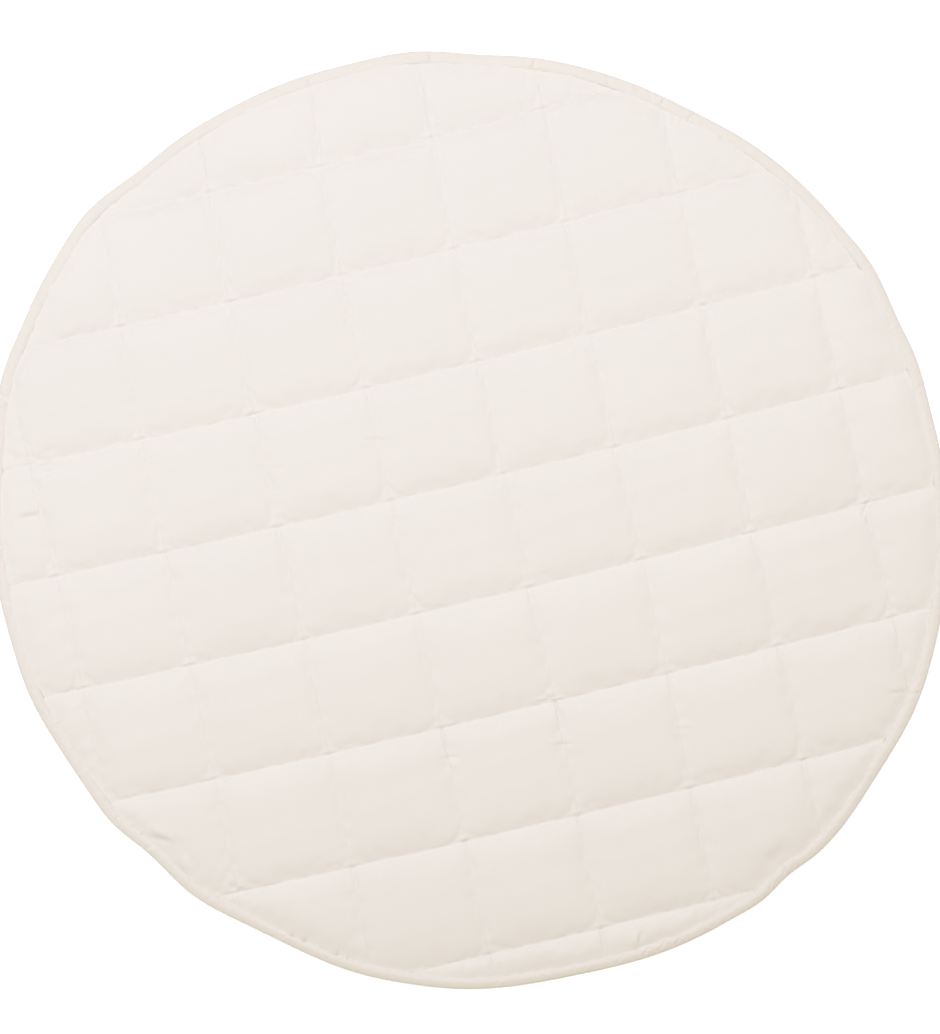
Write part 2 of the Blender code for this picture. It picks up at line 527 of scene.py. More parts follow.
class NodeMaker:
    """Adds nodes to a tree and feeds them, so that a material reads as a short recipe."""

    def __init__(self, tree: Tree) -> None:
        """Work on one node tree."""
        self.tree = tree

    def feed(self, node: Node, sources: dict[str | int, Any]) -> None:
        """Feed a node's inputs.

        Args:
            node: the node.
            sources: a socket or a value for each input, by its name or number.
        """
        for label, source in sources.items():
            if isinstance(source, Socket):
                self.tree.links.new(source, node.inputs[label])
            else:
                node.inputs[label].default_value = source

    def add(self, kind: str, sources: dict[str | int, Any] | None = None, **values: Any) -> Node:
        """Add a node.

        Args:
            kind: the node's type.
            sources: what feeds its inputs.
            values: its other properties by name.

        Returns:
            The new node.
        """
        node = self.tree.nodes.new(kind)
        for name, value in values.items():
            setattr(node, name, value)
        self.feed(node, sources or {})
        return node

    def math(self, operation: str, *sources: Any) -> Socket:
        """Add a math node that is fed in order, and give its output."""
        return self.add("ShaderNodeMath", dict(enumerate(sources)), operation=operation).outputs[0]

    def noise(self, place: Socket, scale: float, detail: float) -> Socket:
        """Add a noise texture and give its strength."""
        return self.add("ShaderNodeTexNoise", {"Vector": place, "Scale": scale, "Detail": detail}).outputs["Fac"]

    def mix(self, share: Socket, first: Color, second: Color) -> Socket:
        """Mix two colours by a share of the second, and give the result."""
        sources = {"Factor": share, 6: (*first, 1.0), 7: (*second, 1.0)}
        return self.add("ShaderNodeMix", sources, data_type="RGBA").outputs[2]


def new_group(name: str, inputs: dict[str, str], outputs: dict[str, str]) -> tuple[NodeMaker, Any, Any]:
    """Start a shader node group with named sockets.

    Args:
        name: the group's name.
        inputs: socket type by name.
        outputs: socket type by name.

    Returns:
        A maker for the group's nodes, its entry node and its exit node.
    """
    group = bpy.data.node_groups.new(name, "ShaderNodeTree")
    for way, sockets in (("INPUT", inputs), ("OUTPUT", outputs)):
        for label, kind in sockets.items():
            group.interface.new_socket(name=label, in_out=way, socket_type=f"NodeSocket{kind}")
    make = NodeMaker(group)
    return make, make.add("NodeGroupInput"), make.add("NodeGroupOutput")


def new_finish(name: str) -> tuple[Material, NodeMaker, Node]:
    """Start a material.

    Args:
        name: its name.

    Returns:
        The material, a maker for its nodes and its shader.
    """
    finish = bpy.data.materials.new(name)
    finish.use_nodes = True
    return finish, NodeMaker(finish.node_tree), finish.node_tree.nodes["Principled BSDF"]


@dataclass(frozen=True)
class PlainWeave:
    """The plain weave: warp and weft threads that pass over and under each other, a little unevenly."""

    drift_scale: float = 60.0
    drift: float = 2.2
    crossing: float = 0.35

    def group(self) -> Tree:
        """Make the shared group.

        Returns:
            A group that gives the threads' height and a painted shade that is darker in the gaps between them.
        """
        make, entry, leave = new_group("plain_weave", {"Vector": "Vector", "Threads": "Float"},
                                       {"Height": "Float", "Painted Gap Shade": "Float"})
        place, density = entry.outputs["Vector"], entry.outputs["Threads"]
        split = make.add("ShaderNodeSeparateXYZ", {0: place})
        wobble = make.math("MULTIPLY", make.noise(place, self.drift_scale, 1.0), self.drift)
        turns = [make.math("MULTIPLY", split.outputs[axis], density) for axis in ("X", "Y")]
        warp, weft = (make.math("SINE", make.math("MULTIPLY_ADD", turn, math.pi, wobble)) for turn in turns)
        over = make.math("MULTIPLY", warp, weft)
        round_warp, round_weft = make.math("ABSOLUTE", warp), make.math("ABSOLUTE", weft)
        pick = make.math("MULTIPLY_ADD", make.math("SIGN", over), 0.5, 0.5)
        crown = make.math("ADD", make.math("MULTIPLY", round_warp, pick),
                          make.math("MULTIPLY", round_weft, make.math("SUBTRACT", 1.0, pick)))
        # Painted shade: the second output darkens the cloth's colour where the threads dip, between them.
        make.feed(leave, {"Height": make.math("MULTIPLY_ADD", over, self.crossing, crown),
                          "Painted Gap Shade": make.math("MULTIPLY", round_warp, round_weft)})
        return make.tree


@dataclass(frozen=True)
class Blotch:
    """One size of unevenness in undyed cotton: how many to the metre, how ragged, and how strong."""

    scale: float
    detail: float
    weight: float


@dataclass(frozen=True)
class CottonTone:
    """The unevenness of undyed cotton: broad clouds, slubs and flecks; and painted shade that darkens the gaps
    between threads.
    """

    blotches: tuple[Blotch, ...] = table(Blotch, (6.0, 2.0, 1.0), (55.0, 3.0, 0.6), (700.0, 2.0, 0.9))
    # How strongly painted shade darkens the gaps between threads.
    painted_gap_shade: float = 0.05
    roughness: float = 0.90
    roughness_change: float = 0.06

    def group(self) -> Tree:
        """Make the shared group.

        Returns:
            A group that gives the colour and the roughness that changes with it.
        """
        make, entry, leave = new_group(
            "cotton_tone", {"Vector": "Vector", "Color": "Color", "Unevenness": "Float", "Painted Gap Shade": "Float"},
            {"Color": "Color", "Roughness": "Float"})
        total: Any = 0.0
        for blotch in self.blotches:
            noise = make.noise(entry.outputs["Vector"], blotch.scale, blotch.detail)
            total = make.math("ADD", total, make.math("MULTIPLY", make.math("SUBTRACT", noise, 0.5), blotch.weight))
        lift = make.math("MULTIPLY", total, entry.outputs["Unevenness"])
        # Painted shade: the colour is darkened in the gaps between threads.
        painted_gaps = make.math("MULTIPLY", make.math("SUBTRACT", entry.outputs["Painted Gap Shade"], 0.5), self.painted_gap_shade)
        strength = make.math("ADD", make.math("ADD", lift, painted_gaps), 1.0)
        scaled = make.add("ShaderNodeVectorMath", {0: entry.outputs["Color"], "Scale": strength}, operation="SCALE")
        rough = make.math("MULTIPLY_ADD", total, self.roughness_change, self.roughness)
        make.feed(leave, {"Color": scaled.outputs[0], "Roughness": rough})
        return make.tree


class Layout(Enum):
    """What a weave follows: the mat's own plane, or the strip's own length and width."""

    PLANE = "Object"
    STRIP = "UV"


@dataclass(frozen=True)
class CottonFinish:
    """Cream cotton: its colour, the weave's direction in degrees and what it follows, its threads and their relief.

    Where a strip turns steeply over the edge, its colour is painted paler and cooler, as painted light from the pale
    surroundings; the change runs between two given steepnesses of the surface.
    """

    name: str
    color: Color
    layout: Layout
    turn: float
    # Painted light: a paler, cooler colour for the strip's steep sides, standing in for light from the pale
    # surroundings, and the steepnesses between which it takes over.
    painted_side_light_color: Color | None = None
    painted_side_light_edges: tuple[float, float] = (0.2, 0.9)
    threads: float = 1700.0
    relief: float = 0.00010
    relief_strength: float = 0.5
    unevenness: float = 0.025
    sheen: float = 0.08
    sheen_roughness: float = 0.6
    gloss: float = 0.2

    def material(self, weave: Tree, tone: Tree) -> Material:
        """Build the material.

        Args:
            weave: the shared weave group.
            tone: the shared cotton tone group.

        Returns:
            The finished material.
        """
        finish, make, shader = new_finish(self.name)
        place = make.add("ShaderNodeTexCoord")
        turned = make.add("ShaderNodeMapping", {"Vector": place.outputs[self.layout.value],
                                                "Rotation": (0.0, 0.0, math.radians(self.turn))})
        threads = make.add("ShaderNodeGroup", {"Vector": turned.outputs[0], "Threads": self.threads}, node_tree=weave)
        # The weave's painted shade darkens the colour in the gaps between threads.
        cotton = make.add("ShaderNodeGroup", {"Vector": place.outputs["Object"], "Color": self.ground_with_painted_side_light(make),
                                              "Unevenness": self.unevenness, "Painted Gap Shade": threads.outputs["Painted Gap Shade"]},
                          node_tree=tone)
        bump = make.add("ShaderNodeBump", {"Strength": self.relief_strength, "Distance": self.relief,
                                           "Height": threads.outputs["Height"]})
        make.feed(shader, {"Base Color": cotton.outputs["Color"], "Roughness": cotton.outputs["Roughness"],
                           "Normal": bump.outputs["Normal"], "Sheen Weight": self.sheen,
                           "Sheen Roughness": self.sheen_roughness, "Specular IOR Level": self.gloss})
        return finish

    def ground_with_painted_side_light(self, make: NodeMaker) -> Any:
        """Choose the cloth's colour, with painted light that makes it paler and cooler where a strip turns steeply
        over the edge.

        Args:
            make: adds the nodes.

        Returns:
            The colour, or the socket that gives it.
        """
        if self.painted_side_light_color is None:
            return (*self.color, 1.0)
        # Painted light: the steeper the face, the more it takes the paler, cooler colour.
        facing = make.add("ShaderNodeNewGeometry")
        upright = make.add("ShaderNodeSeparateXYZ", {0: facing.outputs["Normal"]})
        flat = make.add("ShaderNodeMapRange", {"Value": make.math("ABSOLUTE", upright.outputs["Z"]),
                                               "From Min": self.painted_side_light_edges[0], "From Max": self.painted_side_light_edges[1]})
        return make.mix(flat.outputs["Result"], self.painted_side_light_color, self.color)


@dataclass(frozen=True)
class ThreadFinish:
    """Sewing thread: its colour, the pitch and relief of its twist, and how dark the painted shade in the twist's
    grooves is.
    """

    name: str
    color: Color
    twist: float = 0.0007
    relief: float = 0.00004
    # Painted shade in the twist's grooves: the share of the colour that they keep.
    painted_groove_shade: float = 0.93
    roughness: float = 0.6
    sheen: float = 0.1

    def material(self) -> Material:
        """Build the material.

        Returns:
            The finished material.
        """
        finish, make, shader = new_finish(self.name)
        place = make.add("ShaderNodeTexCoord")
        ply = make.add("ShaderNodeTexWave", {"Vector": place.outputs["Object"], "Scale": 1.0 / (self.twist * 20.0)},
                       bands_direction="DIAGONAL")
        # Painted shade: the twist's grooves get a darker colour.
        painted_groove_color = tuple(self.painted_groove_shade * part for part in self.color)
        bump = make.add("ShaderNodeBump", {"Distance": self.relief, "Height": ply.outputs["Fac"]})
        make.feed(shader, {"Base Color": make.mix(ply.outputs["Fac"], painted_groove_color, self.color),
                           "Normal": bump.outputs["Normal"], "Roughness": self.roughness,
                           "Sheen Weight": self.sheen})
        return finish


# The pad


@dataclass(frozen=True)
class Nip:
    """A short crease in the cloth: place, heading in degrees, length, width and depth in metres."""

    x: float
    y: float
    heading: float
    length: float
    width: float
    depth: float


@dataclass(frozen=True)
class Tuck:
    """A tuck that runs down from a crossing of seams: the crossing's row and column, depth and run in metres."""

    row: int
    column: int
    depth: float
    run: float


@dataclass
class QuiltedPad:
    """The padded disc: puffs between seams on top, shallow channels beneath, and a squeezed rim."""

    outline: Outline
    quilting: Quilting
    hem: Hem
    name: str = "padded_cotton"
    node: str = "quilted_pad"
    slot: str = "pad_cloth"
    seam_top: float = 0.0064
    crown: float = 0.0072
    column_share: float = 0.55
    shoulder: float = 0.0145
    far_shoulder: float = 0.0115
    near_shoulder: float = 0.0220
    puff_half: float = 0.061
    crown_spread: float = 0.06
    puffs_across: int = 20
    rim_top: float = 0.0053
    rim_under: float = 0.0013
    rim_inset: float = 0.0026
    row_round: float = 0.0006
    column_round: float = 0.0030
    strip_edges: tuple[float, float] = (0.3920, 0.4120)
    trough_under: float = 0.0146
    under_slope_end: float = 0.024
    channel_depth: float = 0.0020
    channel_half: float = 0.017
    channel_bend: float = 1.7
    row_groove: float = 0.0012
    row_groove_width: float = 0.0027
    column_groove: float = 0.0002
    strip_groove: float = 0.0014
    groove_width: float = 0.0012
    knots_down: int = 8
    lump: float = 0.0016
    lump_rise: float = 0.0032
    lump_sides: tuple[float, float] = (0.0062, 0.0028)
    tuck: float = 0.0009
    tuck_width: float = 0.0020
    tuck_start: float = 0.002
    tucks: tuple[Tuck, ...] = table(
        Tuck, (2, 5, 0.0014, 0.010), (3, 4, 0.0014, 0.020), (5, 4, 0.0022, 0.022), (5, 3, 0.0022, 0.034),
        (5, 2, 0.0012, 0.016), (6, 5, 0.0022, 0.009), (6, 4, 0.0022, 0.011), (6, 3, 0.0026, 0.011),
        (6, 2, 0.0022, 0.012), (6, 1, 0.0014, 0.012), (7, 4, 0.0016, 0.016), (7, 3, 0.0022, 0.028),
    )
    rim_pucker: float = 0.0006
    rim_pucker_counts: tuple[int, ...] = (83, 127, 181, 233)
    rim_gather_counts: tuple[int, ...] = (7, 11)
    rim_pucker_reach: float = 0.012
    pucker: float = 0.0003
    pucker_reach: float = 0.012
    pucker_start: float = 0.002
    pucker_lengths: tuple[float, ...] = (0.0230, 0.0170, 0.0135)
    pucker_gather_lengths: tuple[float, ...] = (0.093, 0.061)
    pucker_least: float = 0.35
    cloud: float = 0.00025
    cloud_lengths: tuple[float, ...] = (0.071, 0.058, 0.047, 0.039, 0.033, 0.028)
    top_steps: tuple[float, ...] = (0.0024, 0.0054, 0.0094, 0.0150, 0.0220, 0.0305, 0.0400, 0.0505, 0.0610)
    under_steps: tuple[float, ...] = (0.0060, 0.0200, 0.0610)
    mesh_margin: float = 0.03
    keep_inset: float = 0.0048
    weld: float = 0.0003
    pressure: float = 4.0
    slack: float = 0.012
    bending: float = 0.3
    cloth_frames: int = 20
    sewn_half: float = 0.0008
    sewn_past_hem: float = 0.003
    swell_cap: float = 0.0006
    fill: float = 0.5
    nips: tuple[Nip, ...] = table(
        Nip, (-0.0999, 0.0825, 2.0, 0.0100, 0.0016, 0.0008), (-0.2002, 0.0529, 8.0, 0.0100, 0.0022, 0.0005),
        (-0.0206, -0.2523, 6.0, 0.0110, 0.0016, 0.0009), (0.0955, -0.2386, 6.0, 0.0120, 0.0016, 0.0009),
        (0.2276, -0.2217, 2.0, 0.0080, 0.0016, 0.0008), (0.4514, -0.1837, 6.0, 0.0090, 0.0018, 0.0009),
        (-0.2297, 0.1089, 75.0, 0.0030, 0.0022, 0.0012), (0.0881, -0.1889, 15.0, 0.0060, 0.0020, 0.0010),
        (0.4177, 0.0107, 60.0, 0.0070, 0.0020, 0.0010), (-0.3260, -0.3385, -14.0, 0.0150, 0.0036, 0.0023),
        (0.1800, -0.4435, 85.0, 0.0060, 0.0018, 0.0014), (-0.3016, -0.3632, -55.0, 0.0180, 0.0040, -0.0012),
        (-0.4440, 0.0480, 12.0, 0.0100, 0.0030, 0.0014), (-0.4620, 0.0020, 12.0, 0.0120, 0.0030, 0.0014),
        (-0.2450, -0.3920, -30.0, 0.0120, 0.0034, 0.0009), (0.3240, -0.3560, 38.0, 0.0200, 0.0080, 0.0016),
    )
    nip_ridge: tuple[float, float] = (0.6, 1.6)
    refine_reach: float = 0.0150
    refine_cuts: int = 2
    body: Piece | None = field(default=None, repr=False)

    def puff(self, distance: Array) -> Array:
        """Rise of the padding from a seam, from 0 at the seam to 1 at the middle of a puff."""
        full = 1.0 - math.exp(-self.puff_half / self.shoulder)
        return np.minimum((1.0 - np.exp(-np.maximum(distance, 0.0) / self.shoulder)) / full, 1.0)

    def puff_between_rows(self, rows: Array) -> Array:
        """Rise of the padding between two rows: gentle above the nearer seam, steep below the farther one.

        Args:
            rows: signed distance from the nearest row.

        Returns:
            The rise, from 0 at either seam to 1 at the middle of a puff.
        """
        away = np.hypot(rows, self.row_round) - self.row_round
        across = 2.0 * self.puff_half - away
        above, below = np.where(rows > 0.0, away, across), np.where(rows > 0.0, across, away)
        rise = (1.0 - np.exp(-above / self.near_shoulder)) * (1.0 - np.exp(-below / self.far_shoulder))
        half = math.exp(-self.puff_half / self.near_shoulder), math.exp(-self.puff_half / self.far_shoulder)
        return rise / ((1.0 - half[0]) * (1.0 - half[1]))

    def top_height(self, x: Array, y: Array) -> Array:
        """Height of the quilted face, with its puffs, puckers and creases.

        Args:
            x: places across the mat.
            y: places up the mat.

        Returns:
            The height at each place.
        """
        angle = np.arctan2(y, x)
        past_hem = self.outline.inset(x, y) - self.hem.place(angle)
        rows, row_along, row = self.quilting.nearest(Run.ROW, x, y)
        columns, column_along, column = self.quilting.nearest(Run.COLUMN, x, y)
        by_row = self.puff_between_rows(rows)
        by_column = self.puff(np.hypot(columns, self.column_round) - self.column_round)
        rim = self.puff(past_hem + self.hem.bedding(angle))
        spread = np.random.default_rng(Seed.PLUMPNESS).uniform(-1.0, 1.0, self.puffs_across ** 2)
        puff_number = (row + (rows < 0)) * self.puffs_across + column + (columns < 0)
        plump = 1.0 + self.crown_spread * spread[puff_number]
        level = 1.0 - self.column_share + self.column_share * plump * by_column
        height = self.rim_top + (self.seam_top - self.rim_top) * rim + self.crown * level * by_row * rim
        height += self.puckers(rows, row_along, row, Seed.ROW_PUCKER) * rim * by_column
        height += self.puckers(columns, column_along, column, Seed.COLUMN_PUCKER) * rim * by_row
        strip = swell(column_along, *self.strip_edges)
        line = self.column_groove + (self.strip_groove - self.column_groove) * strip
        height -= self.row_groove * np.exp(-np.abs(rows) / self.row_groove_width) * rim
        height -= line * np.exp(-np.abs(columns) / self.groove_width) * rim
        height += self.knots(rows, columns, row * self.knots_down + column) * rim
        within = np.maximum(past_hem, 0.0) / self.rim_pucker_reach
        gather = 0.5 + 0.5 * ring_waves(angle, self.rim_gather_counts, Seed.RIM_GATHER)
        rim_waves = ring_waves(angle, self.rim_pucker_counts, Seed.RIM_PUCKER)
        height += self.rim_pucker * rim_waves * gather * within * np.exp(1.0 - within)
        height += self.cloud * plane_waves(x, y, self.cloud_lengths, Seed.CLOUD) * by_row * by_column * rim
        return height - self.creases(x, y)

    def knots(self, rows: Array, columns: Array, crossing: Array) -> Array:
        """Shape the cloth where seams cross: a small lump above the crossing and a tuck that runs down from it.

        Args:
            rows: signed distance from the nearest row.
            columns: signed distance from the nearest column.
            crossing: number of the nearest crossing.

        Returns:
            The height that they add.
        """
        draw, count = np.random.default_rng(Seed.KNOTS), self.knots_down ** 2
        lump, depth = draw.uniform(0.4, 1.0, count), self.tuck * draw.uniform(0.2, 1.0, count)
        run, slide = draw.uniform(0.007, 0.018, count), draw.uniform(-0.0015, 0.0015, count)
        for tuck in self.tucks:
            number = tuck.row * self.knots_down + tuck.column
            depth[number], run[number] = tuck.depth, tuck.run
        aside = columns - slide[crossing]
        raised = bell(aside, self.lump_sides[0]) * bell(rows - self.lump_rise, self.lump_sides[1])
        below = np.maximum(-rows, 0.0) / run[crossing]
        drawn = np.exp(-np.abs(aside) / self.tuck_width - below ** 2) * swell(-rows, 0.0, self.tuck_start)
        return self.lump * lump[crossing] * raised - depth[crossing] * drawn

    def puckers(self, away: Array, along: Array, which: Array, seed: int) -> Array:
        """Small ripples that run out from a seam, where the thread draws the cloth in.

        Args:
            away: signed distance from the seam.
            along: distance along the seam.
            which: the seam's number.
            seed: chooses the ripples.

        Returns:
            The height that they add.
        """
        ripple = np.zeros_like(away)
        for number in range(len(self.quilting.rows)):
            for side in (0, 1):
                here = (which == number) & ((away > 0) == bool(side))
                spot = seed + 2 * number + side
                wave = waves(along[here], self.pucker_lengths, spot)
                gather = 0.5 + 0.5 * waves(along[here], self.pucker_gather_lengths, spot + Seed.PUCKER_GATHER)
                ripple[here] = wave * (self.pucker_least + (1.0 - self.pucker_least) * gather)
        distance = np.abs(away)
        fade = np.exp(-distance / self.pucker_reach) * (1.0 - np.exp(-distance / self.pucker_start))
        return self.pucker * ripple * fade

    def creases(self, x: Array, y: Array) -> Array:
        """Depth of the single short creases.

        Args:
            x: places across the mat.
            y: places up the mat.

        Returns:
            The depth at each place.
        """
        depth = np.zeros_like(x)
        for nip in self.nips:
            heading = math.radians(nip.heading)
            along = (x - nip.x) * math.cos(heading) + (y - nip.y) * math.sin(heading)
            across = (y - nip.y) * math.cos(heading) - (x - nip.x) * math.sin(heading)
            depth += nip.depth * bell(along, nip.length) * crease(across, nip.width, *self.nip_ridge)
        return depth

    def under_height(self, x: Array, y: Array) -> Array:
        """Height of the underside: on the floor below each puff, lifted at seams and at the rim.

        Args:
            x: places across the mat.
            y: places up the mat.

        Returns:
            The height at each place.
        """
        inner = swell(self.outline.inset(x, y), self.trough_under, self.under_slope_end)
        share = 1.0
        for run in Run:
            distance = np.abs(self.quilting.nearest(run, x, y)[0])
            share = share * (1.0 - np.maximum(1.0 - distance / self.channel_half, 0.0) ** self.channel_bend)
        return self.rim_under * (1.0 - inner) + self.channel_depth * (1.0 - share) * inner

    def grid_places(self, rows: Array, columns: Array) -> tuple[Array, Array]:
        """Find where the lines of a mesh cross, both straying with their seams.

        Args:
            rows: tilt, offset and seam number of the row line through each point.
            columns: the same of the column line.

        Returns:
            The x and y of each point.
        """
        row_ahead, row_side = self.quilting.directions(Run.ROW, rows[:, 0])
        column_ahead, column_side = self.quilting.directions(Run.COLUMN, columns[:, 0])
        cross = row_side[0] * column_side[1] - row_side[1] * column_side[0]
        x, y = columns[:, 1], rows[:, 1]
        for _ in range(4):
            row_along = row_ahead[0] * x + row_ahead[1] * y
            column_along = column_ahead[0] * x + column_ahead[1] * y
            row_away = rows[:, 1] + self.quilting.line_stray(Run.ROW, rows[:, 2], row_along)
            column_away = columns[:, 1] + self.quilting.line_stray(Run.COLUMN, columns[:, 2], column_along)
            x = (row_away * column_side[1] - column_away * row_side[1]) / cross
            y = (row_side[0] * column_away - column_side[0] * row_away) / cross
        return x, y

    def sheet_of_lines(self, name: str, steps: tuple[float, ...]) -> Piece:
        """Make one face of the pad as a grid whose lines follow the seams, trimmed to the rim.

        Args:
            name: the mesh's name.
            steps: distances from a seam at which the mesh has lines.

        Returns:
            The flat face, with its outermost points on the rim.
        """
        limit = self.outline.radius + self.mesh_margin
        rows = self.quilting.mesh_lines(Run.ROW, steps, limit)
        columns = self.quilting.mesh_lines(Run.COLUMN, steps, limit)[::-1]
        deselect_all()
        bpy.ops.mesh.primitive_grid_add(x_subdivisions=len(columns) - 1, y_subdivisions=len(rows) - 1, size=1.0)
        face = bpy.context.object
        face.name = name
        points = points_of(face)
        across = np.rint((points[:, 0] + 0.5) * (len(columns) - 1)).astype(int)
        down = np.rint((0.5 - points[:, 1]) * (len(rows) - 1)).astype(int)
        x, y = self.grid_places(np.array(rows)[down], np.array(columns)[across])
        set_points(face, np.stack([x, y, np.zeros_like(x)], axis=1))
        select_points(face, self.outline.inset(x, y) < self.keep_inset)
        with editing(face):
            bpy.ops.mesh.delete(type="VERT")
            select_open_edges(wire=True)
        edge = np.empty(len(face.data.vertices), bool)
        face.data.vertices.foreach_get("select", edge)
        points = points_of(face)
        angle = np.arctan2(points[edge, 1], points[edge, 0])
        points[edge, 0], points[edge, 1] = self.outline.places(angle, self.rim_inset)
        set_points(face, points)
        with editing(face):
            bpy.ops.mesh.select_all(action="SELECT")
            bpy.ops.mesh.remove_doubles(threshold=self.weld)
        return face

    def build(self) -> None:
        """Model the pad: two faces that follow the seams, bridged round the rim, then blown up softly."""
        top = self.sheet_of_lines(self.name, self.top_steps)
        under = self.sheet_of_lines("under_face", self.under_steps)
        points = points_of(top)
        points[:, 2] = self.rim_top
        set_points(top, points)
        with editing(under, "FACE"):
            bpy.ops.mesh.select_all(action="SELECT")
            bpy.ops.mesh.flip_normals()
        make_active(top)
        under.select_set(True)
        bpy.ops.object.join()
        with editing(top, "EDGE"):
            select_open_edges(wire=False)
            bpy.ops.mesh.bridge_edge_loops()
        self.body = top
        lift = self.blown_up()
        store = top.data.attributes.new("lift", "FLOAT_VECTOR", "POINT")
        store.data.foreach_set("vector", lift.ravel())
        finer = top.modifiers.new("finer", "SUBSURF")
        finer.subdivision_type = "SIMPLE"
        finer.levels = finer.render_levels = 1
        apply_modifier(top, "finer")
        self.refine()
        self.shape()

    def refine(self) -> None:
        """Add points round the single creases, where the seams' own lines are too far apart."""
        points = points_of(self.body)
        near = np.zeros(len(points), bool)
        for nip in self.nips:
            near |= np.hypot(points[:, 0] - nip.x, points[:, 1] - nip.y) < self.refine_reach
        select_points(self.body, near & self.is_top(points))
        with editing(self.body):
            bpy.ops.mesh.select_mode(type="FACE", use_extend=False)
            bpy.ops.mesh.subdivide(number_cuts=self.refine_cuts)

    def is_top(self, points: Array) -> Array:
        """Tell the points of the upper face from those of the underside."""
        return points[:, 2] > 0.5 * (self.rim_top + self.rim_under)

    def set_heights(self, points: Array) -> Array:
        """Give a copy of the points with each at its modelled height."""
        x, y = points[:, 0], points[:, 1]
        height = np.where(self.is_top(points), self.top_height(x, y), self.under_height(x, y))
        return np.stack([x, y, height], axis=1)

    def sewn(self, points: Array) -> Array:
        """Find the points that cannot give: at seams, under the binding and on the underside.

        Args:
            points: the mesh's points while its faces are flat.

        Returns:
            One truth value for each point.
        """
        x, y = points[:, 0], points[:, 1]
        held = ~self.is_top(points) | (self.outline.inset(x, y) < self.hem.inset + self.sewn_past_hem)
        for run in Run:
            held |= np.abs(self.quilting.nearest(run, x, y)[0]) < self.sewn_half
        return held

    def blown_up(self) -> Array:
        """Let the padding press on the cloth between its seams, and measure how the cloth gives.

        Returns:
            The move of each point, capped, and nil at seams, rim and underside.
        """
        piece = self.body
        flat = points_of(piece)
        start, sewn = self.set_heights(flat), self.sewn(flat)
        set_points(piece, start)
        group = piece.vertex_groups.new(name="sewn")
        group.add([int(number) for number in np.flatnonzero(sewn)], 1.0, "REPLACE")
        cloth = piece.modifiers.new("cloth", "CLOTH")
        cloth.settings.quality = 5
        cloth.settings.vertex_group_mass = group.name
        cloth.settings.use_pressure = True
        cloth.settings.uniform_pressure_force = self.pressure
        cloth.settings.effector_weights.gravity = 0.0
        cloth.settings.shrink_min = -self.slack
        cloth.settings.bending_stiffness = self.bending
        cloth.collision_settings.use_collision = False
        cloth.point_cache.frame_start, cloth.point_cache.frame_end = 1, self.cloth_frames
        for moment in range(1, self.cloth_frames + 1):
            bpy.context.scene.frame_set(moment)
        apply_modifier(piece, "cloth")
        bpy.context.scene.frame_set(1)
        piece.vertex_groups.clear()
        lift = points_of(piece) - start
        length = np.linalg.norm(lift, axis=1, keepdims=True)
        lift = lift * np.minimum(1.0, self.swell_cap / np.maximum(length, 1e-9))
        lift[sewn] = 0.0
        set_points(piece, flat)
        LOG.info("padding pressed the cloth out by %.2f mm at most", length.max() / MM)
        return lift

    def shape(self) -> None:
        """Raise the puffs in the fine mesh and add the give of the cloth."""
        piece = self.body
        points = points_of(piece)
        lift = np.zeros(points.size)
        piece.data.attributes["lift"].data.foreach_get("vector", lift)
        piece.data.attributes.remove(piece.data.attributes["lift"])
        shaped = self.set_heights(points) + lift.reshape(-1, 3)
        shaped[:, 2] = np.maximum(shaped[:, 2], 0.0)
        set_points(piece, shaped)
        face_outward(piece)

    def dress(self, material: Material) -> None:
        """Give the pad its finish and hide the imported part that it replaces."""
        dress_piece(self.body, material)
        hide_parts(self.node)


# The binding


@dataclass(frozen=True)
class Pleat:
    """A small pleat across the binding: direction in degrees, slant, width and depth in metres."""

    angle: float
    slant: float
    width: float
    depth: float


def scattered_pleats(count: int) -> tuple[Pleat, ...]:
    """Scatter faint pleats round the mat."""
    draw = np.random.default_rng(Seed.PLEATS)
    return tuple(Pleat(360.0 * (number + draw.uniform(0.0, 0.9)) / count, draw.uniform(-0.9, 0.9),
                       draw.uniform(0.0014, 0.0026), draw.uniform(0.0001, 0.0004)) for number in range(count))


